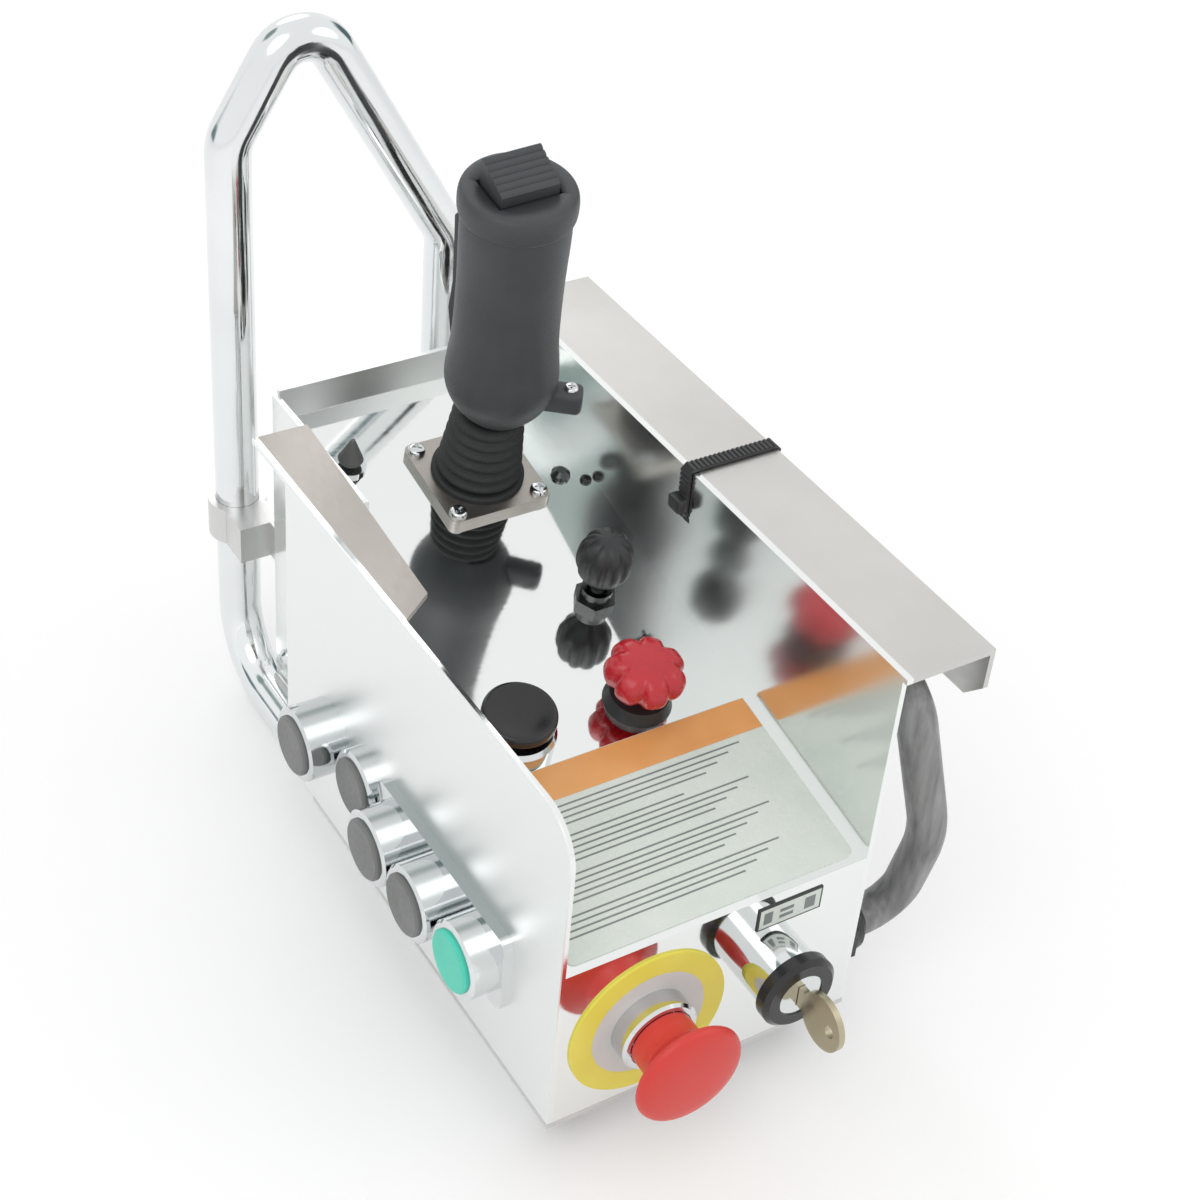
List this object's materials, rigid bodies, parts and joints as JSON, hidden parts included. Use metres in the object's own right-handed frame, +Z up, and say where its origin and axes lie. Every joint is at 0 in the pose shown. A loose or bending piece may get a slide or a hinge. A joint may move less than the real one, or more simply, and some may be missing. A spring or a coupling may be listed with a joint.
{
  "type": "scissor lift control box",
  "caption": "Platform control box with a joystick, emergency stop, key switch, side push buttons, panel toggles and a bent tube that is its runners and carrying hoop.",
  "frame": {"origin": "on the floor under the middle of the whole object's box", "axes": "+Y from the operator's side to the hoop, +Z up, +X to the operator's right"},
  "size_m": [0.1758, 0.335, 0.2867],
  "materials": {
    "mirror_steel": "polished",
    "satin_steel": "satin",
    "chrome_tube": "polished",
    "bright_metal": "polished",
    "black_plastic": "matte",
    "placard_film": "satin",
    "yellow_plastic": "gloss",
    "red_plastic": "gloss",
    "key_brass": "satin",
    "green_plastic": "gloss",
    "grey_plastic": "satin",
    "plate_grey": "satin",
    "bellows_rubber": "matte",
    "grip_grey": "satin",
    "board_green": "satin",
    "led_dark": "gloss"
  },
  "bodies": {
    "housing": {"side_plate_left": "satin_steel", "side_plate_right": "mirror_steel", "panel_shell": "mirror_steel", "pocket_wall": "satin_steel", "bottom_cover": "satin_steel", "cover_screws": "bright_metal", "hoop_frame": "chrome_tube", "tube_plugs": "black_plastic", "hoop_clamps": "satin_steel", "clamp_screws": "bright_metal", "skid_bolts": "bright_metal", "placard": "placard_film", "key_legend": "black_plastic", "estop_ring": "yellow_plastic", "estop_body": "bright_metal", "estop_contacts": "black_plastic", "key_barrel": "bright_metal", "key_bezel": "black_plastic", "key_contacts": "black_plastic", "horn_bezel": "bright_metal", "knob_base": "black_plastic", "panel_contacts": "black_plastic", "toggle_base": "bright_metal", "small_toggle_base": "bright_metal", "lock_nuts": "bright_metal", "side_collar_1": "bright_metal", "side_collar_2": "bright_metal", "side_collar_3": "bright_metal", "side_collar_4": "bright_metal", "side_collar_5": "bright_metal", "side_contacts": "black_plastic", "button_frame": "satin_steel", "stick_plate": "plate_grey", "stick_screws": "bright_metal", "stick_body": "black_plastic", "stick_pin": "bright_metal", "stick_bellows": "bellows_rubber", "control_board": "board_green", "harness_lead": "grey_plastic", "lead_ends": "black_plastic", "flange_tie": "black_plastic", "status_led": "led_dark"},
    "estop_stem": {"estop_stem": "black_plastic"},
    "estop_head": {"estop_head": "red_plastic"},
    "key_rotor": {"key_rotor": "bright_metal"},
    "key": {"key": "key_brass"},
    "horn": {"horn_cap": "black_plastic"},
    "lift_knob": {"lift_knob": "red_plastic"},
    "toggle": {"toggle_lever": "black_plastic"},
    "small_toggle": {"small_toggle_lever": "black_plastic"},
    "cap_1": {"side_cap_1": "green_plastic"},
    "cap_2": {"side_cap_2": "grey_plastic"},
    "cap_3": {"side_cap_3": "grey_plastic"},
    "cap_4": {"side_cap_4": "grey_plastic"},
    "cap_5": {"side_cap_5": "grey_plastic"},
    "stick": {"stick_shaft": "bright_metal", "stick_grip": "grip_grey", "grip_cap": "grip_grey"},
    "rocker": {"thumb_rocker": "grip_grey"},
    "trigger": {"enable_trigger": "grip_grey"}
  },
  "joints": [
    {"name": "estop_push", "type": "slide", "parent": "housing", "child": "estop_stem", "axis": [0, 1, 0], "range_m": [0, 0.004]},
    {"name": "estop_twist", "type": "hinge", "parent": "estop_stem", "child": "estop_head", "pos_m": [-0.03395, -0.144, 0.0525], "axis": [0, 1, 0], "range_deg": [0, 45], "stiffness_Nm_per_rad": 0.05, "springref_deg": -5.73},
    {"name": "key_turn", "type": "hinge", "parent": "housing", "child": "key_rotor", "pos_m": [0.01305, -0.134, 0.0605], "axis": [0, 1, 0], "range_deg": [0, 60]},
    {"name": "key_pull", "type": "slide", "parent": "key_rotor", "child": "key", "axis": [0, -1, 0], "range_m": [0, 0.02]},
    {"name": "horn_press", "type": "slide", "parent": "housing", "child": "horn", "axis": [0, 0.1994, -0.9799], "range_m": [0, 0.003], "stiffness_N_per_m": 600, "springref_m": -0.003},
    {"name": "knob_press", "type": "slide", "parent": "housing", "child": "lift_knob", "axis": [0, 0.1994, -0.9799], "range_m": [0, 0.004], "stiffness_N_per_m": 600, "springref_m": -0.003},
    {"name": "toggle_throw", "type": "hinge", "parent": "housing", "child": "toggle", "pos_m": [0.02005, 0.00754, 0.12034], "axis": [1, 0, 0], "range_deg": [-12, 12], "stiffness_Nm_per_rad": 0.3},
    {"name": "small_toggle_throw", "type": "hinge", "parent": "housing", "child": "small_toggle", "pos_m": [-0.03395, 0.09749, 0.13456], "axis": [1, 0, 0], "range_deg": [-12, 12], "stiffness_Nm_per_rad": 0.1},
    {"name": "stick_tilt", "type": "hinge", "parent": "housing", "child": "stick", "pos_m": [0.00855, 0.0797, 0.11666], "axis": [1, 0, 0], "range_deg": [-20, 20], "stiffness_Nm_per_rad": 3, "deforming": ["stick_bellows"]},
    {"name": "thumb_roll", "type": "hinge", "parent": "stick", "child": "rocker", "pos_m": [0.00513, 0.0526, 0.26191], "axis": [0.0013, 0.9874, 0.158], "range_deg": [-10, 10], "stiffness_Nm_per_rad": 0.1},
    {"name": "trigger_squeeze", "type": "hinge", "parent": "stick", "child": "trigger", "pos_m": [0.00167, 0.07582, 0.19848], "axis": [0.8651, 0.4844, 0.1301], "range_deg": [0, 4], "stiffness_Nm_per_rad": 0.5, "springref_deg": -5.73},
    {"name": "side_press_1", "type": "slide", "parent": "housing", "child": "cap_1", "axis": [1, 0, 0], "range_m": [0, 0.003], "stiffness_N_per_m": 600, "springref_m": -0.003},
    {"name": "side_press_2", "type": "slide", "parent": "housing", "child": "cap_2", "axis": [1, 0, 0], "range_m": [0, 0.003], "stiffness_N_per_m": 600, "springref_m": -0.003},
    {"name": "side_press_3", "type": "slide", "parent": "housing", "child": "cap_3", "axis": [1, 0, 0], "range_m": [0, 0.003], "stiffness_N_per_m": 600, "springref_m": -0.003},
    {"name": "side_press_4", "type": "slide", "parent": "housing", "child": "cap_4", "axis": [1, 0, 0], "range_m": [0, 0.003], "stiffness_N_per_m": 600, "springref_m": -0.003},
    {"name": "side_press_5", "type": "slide", "parent": "housing", "child": "cap_5", "axis": [1, 0, 0], "range_m": [0, 0.003], "stiffness_N_per_m": 600, "springref_m": -0.003}
  ]
}
